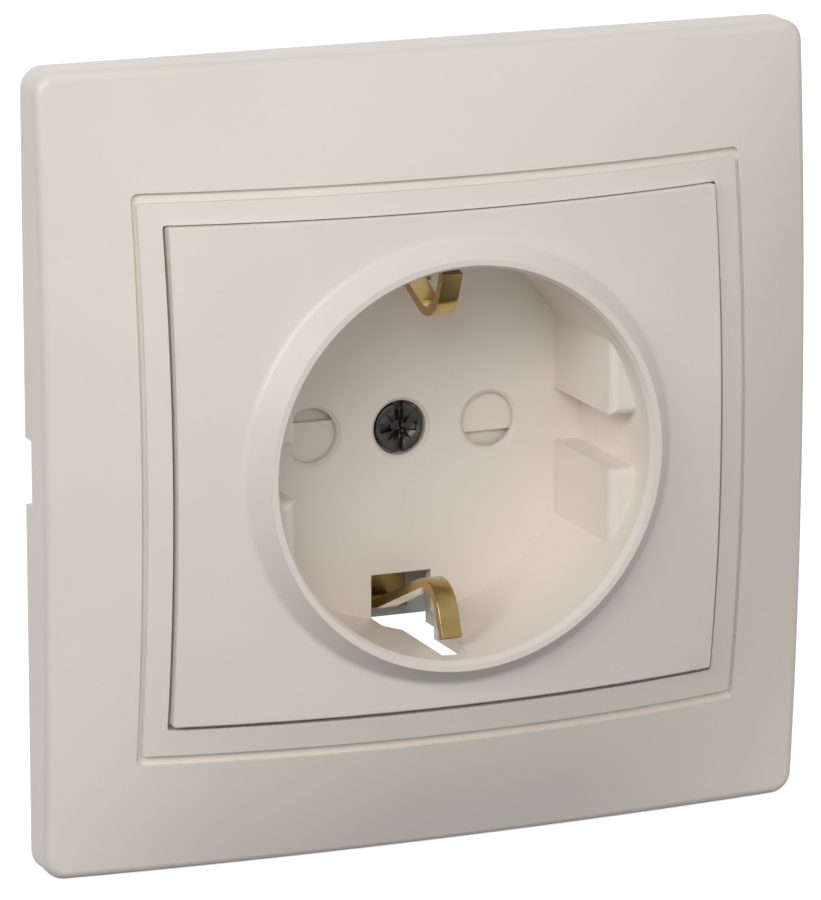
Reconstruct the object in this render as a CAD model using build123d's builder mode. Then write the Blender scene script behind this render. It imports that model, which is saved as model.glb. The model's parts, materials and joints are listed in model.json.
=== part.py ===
"""Flush-mounted earthed socket outlet: square frame, crowned centre cover and its insert.

The wall face is the plane Y = 0 and the user stands on the -Y side. The origin is on the recess axis,
+X is the user's right and +Z is up. A height is the distance from the wall face towards the user, so
what lies inside the wall has a negative height.
"""
from build123d import *
import os

os.makedirs("parts", exist_ok=True)

# ---------------------------------------------------------------- frame
frame_width = 80.7
frame_height = 80.0
frame_shift_x = 0.15             # the frame hangs a little low and right about its window
frame_shift_z = -0.45
frame_corner_radius = 2.2
frame_wall = 2.0
frame_edge_round = 1.1
frame_crown = dict(centre=16.2, side=5.7, top=5.8, corner=4.15)
groove_margin_x = 2.9            # from the cover gap to the groove's outer edge
groove_margin_z = 3.25
groove_side_width = 0.5
groove_top_width = 0.95
groove_depth = 0.5
groove_outer_corner = 0.7
groove_inner_corner = 0.25
shelf_width = 2.2
shelf_thickness = 2.0
collar_wall = 1.6
pry_notch_height = 6.6
pry_notch_depth = 1.75
pry_notch_reach = 6.0            # right through the frame's wall
screw_relief = 12.0              # gap left in the collar for each box screw

# ---------------------------------------------------------------- centre cover
cover_width = 57.3
cover_height = 49.4
cover_corner_radius = 0.3
cover_gap = 0.35                 # at each side
cover_gap_top = 0.1              # the cover is pushed up in its window
cover_gap_bottom = 0.4
cover_crown = dict(centre=14.1, side=11.3, top=12.5, corner=9.3)
cover_wall = 1.8
cover_edge_round = 0.2
cover_rim_bottom = 7.0

recess_depth = 17.5
cup_radius = 19.5
cup_wall = 1.3
floor_thickness = 1.3
floor_skin = 0.8                 # what is left of the floor in front of the shutter
ring_height = 15.0
ring_inner_radius = cup_radius + 0.35
ring_outer_radius = ring_inner_radius + 0.65
ring_base_radius = ring_outer_radius + 2.0
ring_base_height = 12.3
ring_blend = 0.9
ring_foot_band = (0.6, 1.5)      # how far the foot's edge may lie from that radius and height
ring_lip_depth = 0.7

rib_depth = 2.9
rib_gap = 5.4
rib_setback = 3.6
rib_round = 0.9

# ---------------------------------------------------------------- contacts, holes and windows
pin_pitch = 19.0
pin_hole_radius = 2.8
pin_hole_chamfer = 0.35
screw_hole_radius = 2.8
window_start = cup_radius - 4.7
window_floor_width = 6.4
window_floor_height = 3.0
window_step_height = 1.5
window_wall_width = 3.4
window_length = 14.75
window_reach = 0.55              # past the cup's outer wall

pot_depth = recess_depth - 8.5   # of the body's front hollow; what lies deeper is placed from it
clip_width = 2.1
clip_thickness = 0.95
clip_root_depth = pot_depth - 2.0
clip_root_z = cup_radius - 0.475
clip_knee_depth = clip_root_depth - 0.25
clip_knee_radius = 1.0
clip_peak = (8.02, cup_radius - 6.86)    # height and distance from the axis, before rounding
clip_tip = (10.36, cup_radius - 1.12)
clip_bend_radius = 3.5

# ---------------------------------------------------------------- shutter stack behind the floor
running_gap = 0.05
layer_gap = 0.15
pocket_gap = 0.4
boss_radius = 4.2
shutter_thickness = 2.0
shutter_reach = pin_pitch / 2 + pin_hole_radius + 1.0
shutter_wing_width = 6.9
shutter_hub_radius = 6.4
shutter_step = 0.6
shutter_step_offset = 1.28
retainer_thickness = 1.2
retainer_radius = shutter_reach + 1.0
retainer_post_radius = 1.7
retainer_post_distance = retainer_radius - 2.9
retainer_post_angle = 110.0
retainer_screw_radius = 0.9
retainer_head_radius = 1.8
retainer_head_height = 1.0
retainer_slot_width = 0.5
spring_wire = 0.35
spring_radius = 4.85
spring_turns = 1.75
spring_pitch = 1.15 * spring_wire
spring_room = 1.8 * spring_wire  # depth of the shutter's pocket for each turn

# ---------------------------------------------------------------- centre screw
screw_head_radius = 2.5
screw_head_height = 1.6
screw_head_recess = 0.5
screw_head_round = 0.15
screw_radius = 1.45
screw_length = 13.5
screw_tip_chamfer = 0.3
drive_slot_width = 0.9
drive_slot_depth = 0.8
drive_pit_size = 1.0
drive_pit_depth = 1.25
drive_arm_reach = 2.0
drive_arm_widths = (0.6, 1.05)   # beside the pit and at the tip
drive_arm_depths = (1.0, 0.35)
drive_tick_reaches = (0.6, 2.15)
drive_tick_width = 0.45
drive_tick_depth = 0.3
bush_radius = 3.0
bush_length = 4.8
bush_front_depth = pot_depth + 4.5
bush_flange = 0.6
stop_ring_radius = 2.6
stop_ring_thickness = 0.8
stop_ring_gap = 0.5

# ---------------------------------------------------------------- support plate and insert body
plate_size = 70.0
plate_corner_radius = 5.0
plate_thickness = 1.2
plate_opening_radius = cup_radius + 2.0
plate_notch_width = 16.0
plate_notch_reach = cup_radius + 4.5
box_pitch = 60.0
box_slot_length = 7.0
box_slot_width = 3.6
rivet_offset = 0.775 * (cup_radius + 4.5)
rivet_radius = 1.2
rivet_head_radius = 2.1
rivet_head_height = 0.8
ear_radius = 3.0
ear_thickness = 3.0

body_radius = cup_radius + 4.5
body_flat_x = cup_radius + 3.0
body_notch_z = cup_radius + 1.5
pot_guide_radius = 2.9
body_depth = pot_depth + 18.0
rear_cover_thickness = 1.5
rear_cover_radius = body_radius - 1.2
rear_cover_inset = 1.0           # of its two flats
rear_screw_x = 0.68 * rear_cover_radius
rear_screw_z = 12.0
rear_screw_radius = 0.9
rear_screw_length = 8.0
rear_head_radius = 1.9
rear_head_height = 1.1
rear_slot_width = 0.6
wire_hole_radius = 1.6

# ---------------------------------------------------------------- current-carrying parts
sheet = 0.95
strap_width = 5.0
strap_depth = pot_depth + 10.55
strap_tab_depth = pot_depth - 1.5
strap_tab_length = 5.4           # inward from each leg
strap_clearance = 0.2
sleeve_front_depth = pot_depth + 1.0
sleeve_back_depth = pot_depth + 13.5
sleeve_bore_radius = 2.45
sleeve_wall = 0.65
sleeve_slit = 1.0
sleeve_strap_top = -2.6
sleeve_pocket = 8.0
sleeve_pocket_gap = 0.7
spring_ring_wall = 0.4
spring_ring_length = 2.5
spring_ring_depth = pot_depth + 2.5
cage_width = 6.4
cage_wall = 0.8
cage_bottom_z = 0.9 - cup_radius
cage_top_z = cage_bottom_z + 5.6
cage_back_depth = pot_depth + 17.0
cage_pocket_width = 7.4
cage_clearance = 0.3
clamp_width = 4.4
clamp_thickness = 1.0
clamp_depths = (pot_depth + 12.2, pot_depth + 16.4)
clamp_top_z = cage_bottom_z + 2.9
terminal_screw_radius = 1.4
terminal_screw_end_z = cage_bottom_z - 1.8
terminal_head_radius = 2.1
terminal_head_height = 1.6
terminal_slot_width = 0.8

# ---------------------------------------------------------------- claws
claw_screw_x = 25.2
claw_offset_z = 7.6
claw_width = 4.8
claw_sheet = 1.0
claw_inner_x = 27.1
claw_pivot_depth = 2.0
claw_pin_radius = 0.8
claw_pivot_margin = 1.6          # of sheet in front of the pivot
claw_clearance = 0.1
claw_slot_clearance = 0.2
claw_end_depth = 22.5
claw_ear_sheet = 0.8
claw_ear_depth = 3.4
claw_ear_width = 2.6
claw_ramp_front_depth = 8.0
claw_ramp_back_depth = 16.0
claw_ramp_rise = 2.3
claw_tooth_height = 0.9
claw_tooth_pitch = 1.6
claw_nut_width = 3.6
claw_nut_depths = (16.2, 20.0)
claw_screw_radius = 1.4
claw_screw_end_depth = 23.5
claw_head_radius = 2.3
claw_head_height = 1.4

# ---------------------------------------------------------------- derived sizes
floor_front = ring_height - recess_depth
floor_back = floor_front - floor_thickness
cup_outer_radius = cup_radius + cup_wall
skin_back = floor_front - floor_skin
window_x = cover_width / 2 + cover_gap
window_z = cover_height / 2 + cover_gap
pin_x = pin_pitch / 2
shutter_front = skin_back - layer_gap
shutter_back = shutter_front - shutter_thickness
retainer_front = shutter_back - layer_gap
retainer_back = retainer_front - retainer_thickness
screw_top = floor_front - screw_head_recess
screw_seat = screw_top - screw_head_height
sleeve_radius = sleeve_bore_radius + sleeve_wall
body_back = -body_depth
tall = 30.0                      # higher than anything that it cuts or builds
overcut = 1.0                    # how far a cutter passes the face that it opens

profile_plane = Plane(origin=(0, 0, 0), x_dir=(1, 0, 0), z_dir=(0, 0, -1))   # local (radius, height)


def facing(height):
    """Plane parallel to the wall at a height, looking at the user."""
    return Plane.XZ.offset(height)


def under_crown(half_x, half_z, centre, side, top, corner, drop=0.0):
    """Everything below a surface that is parabolic both ways through the four given heights."""
    reach = 1.1                  # the surface's size as a share of the piece's
    fall_x = (centre - side) * reach**2
    fall_z = (centre - top) * reach**2
    twist = (corner - side - top + centre) * reach**4
    edge_side = centre - fall_x
    edge_top = centre - fall_z
    edge_corner = centre - fall_x - fall_z + twist
    corner_pole = edge_corner
    side_pole = 2 * edge_side - edge_corner
    top_pole = 2 * edge_top - edge_corner
    middle_pole = 4 * centre + edge_corner - 2 * edge_side - 2 * edge_top
    rows = [
        (-half_x * reach, (corner_pole, side_pole, corner_pole)),
        (0, (top_pole, middle_pole, top_pole)),
        (half_x * reach, (corner_pole, side_pole, corner_pole)),
    ]
    columns = (-half_z * reach, 0, half_z * reach)
    poles = [[Vector(x, drop - height, z) for z, height in zip(columns, heights)] for x, heights in rows]
    surface = Face.make_bezier_surface(poles)
    return extrude(surface, amount=tall, dir=(0, 1, 0), mode=Mode.PRIVATE)


def frame_crown_solid(drop=0.0):
    crown = under_crown(frame_width / 2, frame_height / 2, drop=drop, **frame_crown)
    return Pos(frame_shift_x, 0, frame_shift_z) * crown


def cover_crown_solid(drop=0.0):
    return under_crown(cover_width / 2, cover_height / 2, drop=drop, **cover_crown)


# ================================================================ outer frame
groove_x = 2 * (window_x + groove_margin_x)
groove_z = 2 * (window_z + groove_margin_z)
frame_middle = (frame_shift_x, frame_shift_z)

with BuildPart() as frame_groove:
    with BuildSketch(Plane.XZ), Locations(frame_middle):
        RectangleRounded(groove_x, groove_z, groove_outer_corner)
        RectangleRounded(
            groove_x - 2 * groove_side_width, groove_z - 2 * groove_top_width, groove_inner_corner,
            mode=Mode.SUBTRACT,
        )
    extrude(amount=tall)
    add(frame_crown_solid(groove_depth), mode=Mode.SUBTRACT)

with BuildPart() as frame_hollow:
    with BuildSketch(Plane.XZ):
        with Locations(frame_middle):
            RectangleRounded(
                frame_width - 2 * frame_wall, frame_height - 2 * frame_wall, frame_corner_radius / 2
            )
        Rectangle(2 * (window_x + collar_wall), 2 * (window_z + collar_wall), mode=Mode.SUBTRACT)
    extrude(amount=tall)
    add(frame_crown_solid(frame_wall), mode=Mode.INTERSECT)

with BuildPart() as outer_frame:
    with BuildSketch(Plane.XZ), Locations(frame_middle):
        RectangleRounded(frame_width, frame_height, frame_corner_radius)
    extrude(amount=tall)
    add(frame_crown_solid(), mode=Mode.INTERSECT)
    fillet(outer_frame.faces().sort_by(Axis.Y)[0].edges(), frame_edge_round)
    add(frame_groove.part, mode=Mode.SUBTRACT)
    add(frame_hollow.part, mode=Mode.SUBTRACT)
    with BuildSketch(facing(cover_rim_bottom)):
        with Locations((0, (cover_gap_top - cover_gap_bottom) / 2)):
            RectangleRounded(
                2 * window_x, cover_height + cover_gap_top + cover_gap_bottom, cover_corner_radius
            )
    extrude(amount=tall, mode=Mode.SUBTRACT)
    with BuildSketch(Plane.XZ):
        Rectangle(2 * (window_x - shelf_width), 2 * (window_z - shelf_width))
    extrude(amount=tall, mode=Mode.SUBTRACT)
    with BuildSketch(Plane.XZ):
        Rectangle(2 * window_x, 2 * window_z)
    extrude(amount=cover_rim_bottom - shelf_thickness, mode=Mode.SUBTRACT)
    with BuildSketch(Plane.XZ):
        Rectangle(2 * (window_x + collar_wall), 2 * (window_z + collar_wall))
    extrude(amount=plate_thickness, mode=Mode.SUBTRACT)
    with BuildSketch(Plane.XZ):
        Rectangle(2 * (window_x + collar_wall), screw_relief)
        Rectangle(screw_relief, 2 * (window_z + collar_wall))
    extrude(amount=cover_rim_bottom - shelf_thickness, mode=Mode.SUBTRACT)
    with BuildSketch(Plane.XZ):
        with Locations((frame_shift_x - frame_width / 2, 0)):
            Rectangle(pry_notch_reach, pry_notch_height)
    extrude(amount=pry_notch_depth, mode=Mode.SUBTRACT)
outer_frame.part.label = "outer_frame"
export_step(outer_frame.part, "parts/outer_frame.step")

# ================================================================ centre cover with the plug recess
with BuildPart() as cover_hollow:
    with BuildSketch(facing(cover_rim_bottom)):
        Rectangle(cover_width - 2 * cover_wall, cover_height - 2 * cover_wall)
    extrude(amount=tall)
    add(cover_crown_solid(cover_wall), mode=Mode.INTERSECT)

with BuildPart() as guide_ribs:
    with BuildSketch(facing(floor_front)):
        Circle(cup_radius + cup_wall / 2)
        Rectangle(2 * (cup_radius - rib_depth), 3 * cup_radius, mode=Mode.SUBTRACT)
        Rectangle(3 * cup_radius, rib_gap, mode=Mode.SUBTRACT)
    extrude(amount=recess_depth - rib_setback)
    rib_fronts = guide_ribs.faces().filter_by(Plane.XZ).group_by(Axis.Y)[0]
    fillet(rib_fronts.edges().filter_by(GeomType.LINE), rib_round)

with BuildPart() as clip_window:
    with BuildSketch(profile_plane.offset(window_start)):
        with BuildLine():
            top = floor_front + window_length
            step = floor_front + window_floor_height
            wide = window_floor_width / 2
            narrow = window_wall_width / 2
            Polyline(
                (-wide, floor_back - overcut), (wide, floor_back - overcut), (wide, step),
                (narrow, step + window_step_height), (narrow, top), (-narrow, top),
                (-narrow, step + window_step_height), (-wide, step), close=True,
            )
        make_face()
    extrude(amount=cup_outer_radius + window_reach - window_start)

with BuildPart() as central_cover:
    with BuildSketch(facing(cover_rim_bottom)):
        RectangleRounded(cover_width, cover_height, cover_corner_radius)
    extrude(amount=tall)
    add(cover_crown_solid(), mode=Mode.INTERSECT)
    fillet(central_cover.faces().sort_by(Axis.Y)[0].edges(), cover_edge_round)
    add(cover_hollow.part, mode=Mode.SUBTRACT)
    with BuildSketch(profile_plane):
        with BuildLine():
            slope = (ring_base_radius - ring_outer_radius) / (ring_height - ring_base_height)
            skirt_height = cover_crown["side"] - cover_wall / 2
            skirt_radius = ring_outer_radius + slope * (ring_height - skirt_height)
            Polyline(
                (0, floor_back), (cup_outer_radius, floor_back), (cup_outer_radius, skirt_height),
                (skirt_radius, skirt_height), (ring_outer_radius, ring_height), (0, ring_height), close=True,
            )
        make_face()
    revolve(axis=Axis.Y)
    ring_foot = central_cover.edges().filter_by(
        lambda edge: abs(edge.bounding_box().size.X / 2 - ring_base_radius) < ring_foot_band[0]
        and edge.bounding_box().min.Y < ring_foot_band[1] - ring_base_height
        and edge.bounding_box().max.Y > -ring_foot_band[1] - ring_base_height
        and edge.bounding_box().size.Y < 2 * ring_foot_band[1]
    )
    fillet(ring_foot, ring_blend)
    with BuildSketch(profile_plane):
        with BuildLine():
            Polyline(
                (0, floor_front), (cup_radius, floor_front), (cup_radius, ring_height - ring_lip_depth),
                (ring_inner_radius, ring_height), (ring_inner_radius, ring_height + overcut),
                (0, ring_height + overcut), close=True,
            )
        make_face()
    revolve(axis=Axis.Y, mode=Mode.SUBTRACT)
    add(guide_ribs.part)
    with BuildSketch(facing(skin_back)):
        Circle(shutter_reach + pocket_gap)
    extrude(amount=floor_back - skin_back, mode=Mode.SUBTRACT)
    with BuildSketch(facing(skin_back)):
        Circle(boss_radius)
        with PolarLocations(retainer_post_distance, 2, start_angle=retainer_post_angle):
            Circle(retainer_post_radius)
    extrude(amount=retainer_front - skin_back)
    with BuildSketch(facing(skin_back)):
        Circle(boss_radius)
    extrude(amount=retainer_back - skin_back)
    with BuildSketch(facing(floor_front)):
        with Locations((-pin_x, 0), (pin_x, 0)):
            Circle(pin_hole_radius)
    extrude(amount=-2 * floor_thickness, mode=Mode.SUBTRACT)
    with BuildSketch(facing(floor_front)):
        Circle(screw_hole_radius)
    extrude(amount=screw_seat - floor_front, mode=Mode.SUBTRACT)
    with BuildSketch(facing(screw_seat)):
        Circle(screw_radius + 3 * running_gap)
    extrude(amount=retainer_back - screw_seat, mode=Mode.SUBTRACT)
    with BuildSketch(facing(retainer_front)):
        with PolarLocations(retainer_post_distance, 2, start_angle=retainer_post_angle):
            Circle(retainer_screw_radius + running_gap)
    extrude(amount=floor_back - retainer_front, mode=Mode.SUBTRACT)
    holes = central_cover.edges().filter_by(GeomType.CIRCLE).filter_by(
        lambda edge: abs(edge.radius - pin_hole_radius) < 0.01 and abs(edge.center().Y + floor_front) < 0.01
    )
    chamfer(holes, pin_hole_chamfer)
    add(clip_window.part, mode=Mode.SUBTRACT)
    add(mirror(clip_window.part, about=Plane.XY, mode=Mode.PRIVATE), mode=Mode.SUBTRACT)
central_cover.part.label = "central_cover"
export_step(central_cover.part, "parts/central_cover.step")

# ================================================================ shutter and what holds it
with BuildPart() as shutter:
    with BuildSketch(facing(shutter_front)):
        Rectangle(2 * shutter_reach, shutter_wing_width)
        Circle(shutter_reach, mode=Mode.INTERSECT)
        Circle(shutter_hub_radius)
        Circle(boss_radius + running_gap, mode=Mode.SUBTRACT)
    extrude(amount=-shutter_thickness)
    with BuildSketch(facing(shutter_front)):
        step_length = shutter_reach - pin_x + pin_hole_radius
        step_middle = shutter_reach - step_length / 2
        step_centre = shutter_step_offset + shutter_wing_width / 2
        with Locations((step_middle, -step_centre), (-step_middle, step_centre)):
            Rectangle(step_length, shutter_wing_width)
    extrude(amount=-shutter_step, mode=Mode.SUBTRACT)
    with BuildSketch(facing(shutter_back)):
        Circle(spring_radius + 2 * spring_wire)
    extrude(amount=spring_turns * spring_room, mode=Mode.SUBTRACT)
shutter.part.label = "shutter"
export_step(shutter.part, "parts/shutter.step")

with BuildPart() as shutter_spring:
    with BuildLine() as spring_line:
        spring_height = spring_pitch * spring_turns
        Helix(
            pitch=spring_pitch, height=spring_height, radius=spring_radius,
            center=(0, -shutter_back - spring_height - spring_wire / 2, 0), direction=(0, 1, 0),
        )
    with BuildSketch(Plane(origin=spring_line.line @ 0, z_dir=spring_line.line % 0)):
        Circle(spring_wire / 2)
    sweep(is_frenet=True)
shutter_spring.part.label = "shutter_spring"
export_step(shutter_spring.part, "parts/shutter_spring.step")

with BuildPart() as shutter_retainer:
    with BuildSketch(facing(retainer_front)):
        Circle(retainer_radius)
        Circle(boss_radius + running_gap, mode=Mode.SUBTRACT)
        with Locations((-pin_x, 0), (pin_x, 0)):
            Circle(pot_guide_radius, mode=Mode.SUBTRACT)
        with PolarLocations(retainer_post_distance, 2, start_angle=retainer_post_angle):
            Circle(retainer_screw_radius + running_gap, mode=Mode.SUBTRACT)
    extrude(amount=-retainer_thickness)
shutter_retainer.part.label = "shutter_retainer"
export_step(shutter_retainer.part, "parts/shutter_retainer.step")

with BuildPart() as retainer_screws:
    with BuildSketch(facing(retainer_back)):
        with PolarLocations(retainer_post_distance, 2, start_angle=retainer_post_angle):
            Circle(retainer_head_radius)
    extrude(amount=-retainer_head_height)
    with BuildSketch(facing(retainer_back)):
        with PolarLocations(retainer_post_distance, 2, start_angle=retainer_post_angle):
            Circle(retainer_screw_radius)
    extrude(amount=floor_back - retainer_back - layer_gap)
    with BuildSketch(facing(retainer_back - retainer_head_height)):
        with PolarLocations(retainer_post_distance, 2, start_angle=retainer_post_angle):
            Rectangle(retainer_slot_width, 2 * retainer_head_radius)
    extrude(amount=retainer_head_height / 2, mode=Mode.SUBTRACT)
retainer_screws.part.label = "retainer_screws"
export_step(retainer_screws.part, "parts/retainer_screws.step")

# ================================================================ centre screw and its fittings
with BuildPart() as centre_screw:
    with BuildSketch(facing(screw_seat)):
        Circle(screw_head_radius)
    extrude(amount=screw_head_height)
    fillet(centre_screw.faces().sort_by(Axis.Y)[0].edges(), screw_head_round)
    with BuildSketch(facing(screw_seat)):
        Circle(screw_radius)
    extrude(amount=-screw_length)
    chamfer(centre_screw.faces().sort_by(Axis.Y)[-1].edges(), screw_tip_chamfer)
    with BuildSketch(facing(screw_top)):
        Rectangle(drive_slot_width, 3 * screw_head_radius)
    extrude(amount=-drive_slot_depth, mode=Mode.SUBTRACT)
    with BuildSketch(facing(screw_top)):
        Rectangle(drive_pit_size, drive_pit_size)
    extrude(amount=-drive_pit_depth, mode=Mode.SUBTRACT)
    for way in (1, -1):
        for reach, width, depth in zip(
            (drive_pit_size / 2, drive_arm_reach), drive_arm_widths, drive_arm_depths
        ):
            with BuildSketch(Plane.YZ.offset(way * reach)):
                with Locations((-screw_top, 0)):
                    Rectangle(2 * depth, width)
        loft(mode=Mode.SUBTRACT)
    with BuildSketch(facing(screw_top)):
        for angle in (45, 135, 225, 315):
            with Locations(Location((0, 0, 0), (0, 0, angle))):
                with BuildLine(mode=Mode.PRIVATE) as tick:
                    Polyline(
                        (drive_tick_reaches[0], -drive_tick_width / 2), (drive_tick_reaches[1], 0),
                        (drive_tick_reaches[0], drive_tick_width / 2), close=True,
                    )
                add(make_face(tick.line, mode=Mode.PRIVATE))
    extrude(amount=-drive_tick_depth, mode=Mode.SUBTRACT)
centre_screw.part.label = "centre_screw"
export_step(centre_screw.part, "parts/centre_screw.step")

stop_ring_front = -bush_front_depth + stop_ring_thickness + stop_ring_gap
with BuildPart() as screw_retaining_ring:
    with BuildSketch(facing(stop_ring_front)):
        Circle(stop_ring_radius)
        Circle(screw_radius + running_gap, mode=Mode.SUBTRACT)
    extrude(amount=-stop_ring_thickness)
screw_retaining_ring.part.label = "screw_retaining_ring"
export_step(screw_retaining_ring.part, "parts/screw_retaining_ring.step")

bush_back = -bush_front_depth - bush_length
with BuildPart() as threaded_bush:
    with BuildSketch(facing(-bush_front_depth)):
        Circle(bush_radius)
    extrude(amount=-bush_length)
    with BuildSketch(facing(bush_back)):
        Circle(bush_radius + bush_flange)
    extrude(amount=bush_flange)
    with BuildSketch(facing(-bush_front_depth)):
        Circle(screw_radius + running_gap)
    extrude(amount=-bush_length, mode=Mode.SUBTRACT)
threaded_bush.part.label = "threaded_bush"
export_step(threaded_bush.part, "parts/threaded_bush.step")

# ================================================================ support plate
slot_reach = box_pitch / 2
claw_pivot_x = claw_inner_x + claw_sheet / 2
claw_sides = {"left": -1, "right": 1}
claw_ear_z = claw_width / 2 + claw_clearance + claw_ear_sheet / 2

with BuildPart() as support_plate:
    with BuildSketch(Plane.XZ):
        RectangleRounded(plate_size, plate_size, plate_corner_radius)
        Circle(plate_opening_radius, mode=Mode.SUBTRACT)
        Rectangle(plate_notch_width, 2 * plate_notch_reach, mode=Mode.SUBTRACT)
        with Locations((-slot_reach, 0), (slot_reach, 0)):
            SlotOverall(box_slot_length, box_slot_width, mode=Mode.SUBTRACT)
        with Locations((0, -slot_reach), (0, slot_reach)):
            SlotOverall(box_slot_length, box_slot_width, rotation=90, mode=Mode.SUBTRACT)
        with GridLocations(2 * rivet_offset, 2 * rivet_offset, 2, 2):
            Circle(rivet_radius + running_gap, mode=Mode.SUBTRACT)
        for side in claw_sides.values():
            with Locations((side * claw_screw_x, -side * claw_offset_z)):
                Circle(claw_screw_radius + 2 * running_gap, mode=Mode.SUBTRACT)
    extrude(amount=plate_thickness)
    for side in claw_sides.values():
        for ear in (-1, 1):
            ear_z = -side * claw_offset_z + ear * claw_ear_z
            with BuildSketch(Plane.XZ):
                with Locations((side * claw_pivot_x, ear_z)):
                    Rectangle(claw_ear_width, claw_ear_sheet)
            extrude(amount=-claw_ear_depth)
            with BuildSketch(Plane(origin=(side * claw_pivot_x, claw_pivot_depth, ear_z), z_dir=(0, 0, 1))):
                Circle(claw_pin_radius + running_gap)
            extrude(amount=claw_ear_sheet, both=True, mode=Mode.SUBTRACT)
support_plate.part.label = "support_plate"
export_step(support_plate.part, "parts/support_plate.step")

# ================================================================ insulating body, rear cover and their fixings
terminal_x = {"left": -pin_x, "earth": 0.0, "right": pin_x}
wire_z = (cage_top_z - cage_wall + clamp_top_z) / 2
cage_depth = cage_back_depth - strap_depth - sheet
pocket_depth = strap_depth - cage_clearance
strap_slot_width = strap_width + 2 * strap_clearance

with BuildPart() as base_body:
    with BuildSketch(Plane.XZ):
        Circle(body_radius)
        Rectangle(2 * body_flat_x, 3 * body_radius, mode=Mode.INTERSECT)
    extrude(amount=body_back)
    with BuildSketch(Plane.XZ):
        with GridLocations(2 * rivet_offset, 2 * rivet_offset, 2, 2):
            Circle(ear_radius)
    extrude(amount=-ear_thickness)
    with BuildSketch(Plane.XZ):
        Circle(plate_opening_radius)
        Rectangle(plate_notch_width, 3 * body_radius)
    extrude(amount=-pot_depth, mode=Mode.SUBTRACT)
    with BuildSketch(Plane.XZ):
        with Locations((0, body_notch_z + body_radius / 2), (0, -body_notch_z - body_radius / 2)):
            Rectangle(plate_notch_width, body_radius)
    extrude(amount=body_back, mode=Mode.SUBTRACT)
    with BuildSketch(Plane.XZ):
        with GridLocations(2 * rivet_offset, 2 * rivet_offset, 2, 2):
            Circle(rivet_radius + running_gap)
    extrude(amount=-ear_thickness, mode=Mode.SUBTRACT)
    with BuildSketch(facing(-pot_depth)):
        Circle(bush_radius + running_gap)
        with Locations((-pin_x, 0), (pin_x, 0)):
            Circle(pot_guide_radius)
    extrude(amount=pot_depth - strap_depth, mode=Mode.SUBTRACT)
    with BuildSketch(facing(bush_back + bush_flange)):
        Circle(bush_radius + bush_flange + running_gap)
    extrude(amount=-bush_back - bush_flange - strap_depth, mode=Mode.SUBTRACT)
    sleeve_pocket_top = sleeve_radius + spring_ring_wall + sleeve_pocket_gap
    sleeve_pocket_bottom = cage_top_z + cage_clearance
    with BuildSketch(facing(-sleeve_front_depth)):
        with Locations((-pin_x, (sleeve_pocket_top + sleeve_pocket_bottom) / 2),
                       (pin_x, (sleeve_pocket_top + sleeve_pocket_bottom) / 2)):
            Rectangle(sleeve_pocket, sleeve_pocket_top - sleeve_pocket_bottom)
    extrude(amount=body_back + sleeve_front_depth, mode=Mode.SUBTRACT)
    with BuildSketch(facing(-pocket_depth)):
        for x in terminal_x.values():
            with Locations((x, sleeve_pocket_bottom - body_radius / 2)):
                Rectangle(cage_pocket_width, body_radius)
        Rectangle(strap_slot_width, 2 * (clip_root_z + sheet / 2 + strap_clearance))
    extrude(amount=body_back + pocket_depth, mode=Mode.SUBTRACT)
    with BuildSketch(facing(-pot_depth)):
        with Locations((0, clip_root_z), (0, -clip_root_z)):
            Rectangle(strap_slot_width, sheet + 2 * strap_clearance)
    extrude(amount=body_back + pot_depth, mode=Mode.SUBTRACT)
    with BuildSketch(facing(body_back)):
        with Locations((-rear_screw_x, rear_screw_z), (rear_screw_x, rear_screw_z)):
            Circle(rear_screw_radius + running_gap)
    extrude(amount=rear_screw_length, mode=Mode.SUBTRACT)
base_body.part.label = "base_body"
export_step(base_body.part, "parts/base_body.step")

with BuildPart() as base_rivets:
    with BuildSketch(facing(plate_thickness)):
        with GridLocations(2 * rivet_offset, 2 * rivet_offset, 2, 2):
            Circle(rivet_head_radius)
    extrude(amount=rivet_head_height)
    with BuildSketch(facing(-ear_thickness)):
        with GridLocations(2 * rivet_offset, 2 * rivet_offset, 2, 2):
            Circle(rivet_head_radius)
    extrude(amount=-rivet_head_height)
    heads = base_rivets.edges().filter_by(GeomType.CIRCLE).group_by(Axis.Y)
    fillet(heads[0] + heads[-1], 0.6 * rivet_head_height)
    with BuildSketch(facing(plate_thickness)):
        with GridLocations(2 * rivet_offset, 2 * rivet_offset, 2, 2):
            Circle(rivet_radius)
    extrude(amount=-plate_thickness - ear_thickness)
base_rivets.part.label = "base_rivets"
export_step(base_rivets.part, "parts/base_rivets.step")

with BuildPart() as rear_cover:
    with BuildSketch(facing(body_back)):
        Circle(rear_cover_radius)
        Rectangle(2 * (body_flat_x - rear_cover_inset), 3 * body_radius, mode=Mode.INTERSECT)
        with Locations((0, body_notch_z + body_radius / 2), (0, -body_notch_z - body_radius / 2)):
            Rectangle(plate_notch_width, body_radius, mode=Mode.SUBTRACT)
        for x in terminal_x.values():
            with Locations((x, wire_z)):
                Circle(wire_hole_radius, mode=Mode.SUBTRACT)
        with Locations((-rear_screw_x, rear_screw_z), (rear_screw_x, rear_screw_z)):
            Circle(rear_screw_radius + running_gap, mode=Mode.SUBTRACT)
    extrude(amount=-rear_cover_thickness)
rear_cover.part.label = "rear_cover"
export_step(rear_cover.part, "parts/rear_cover.step")

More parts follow.
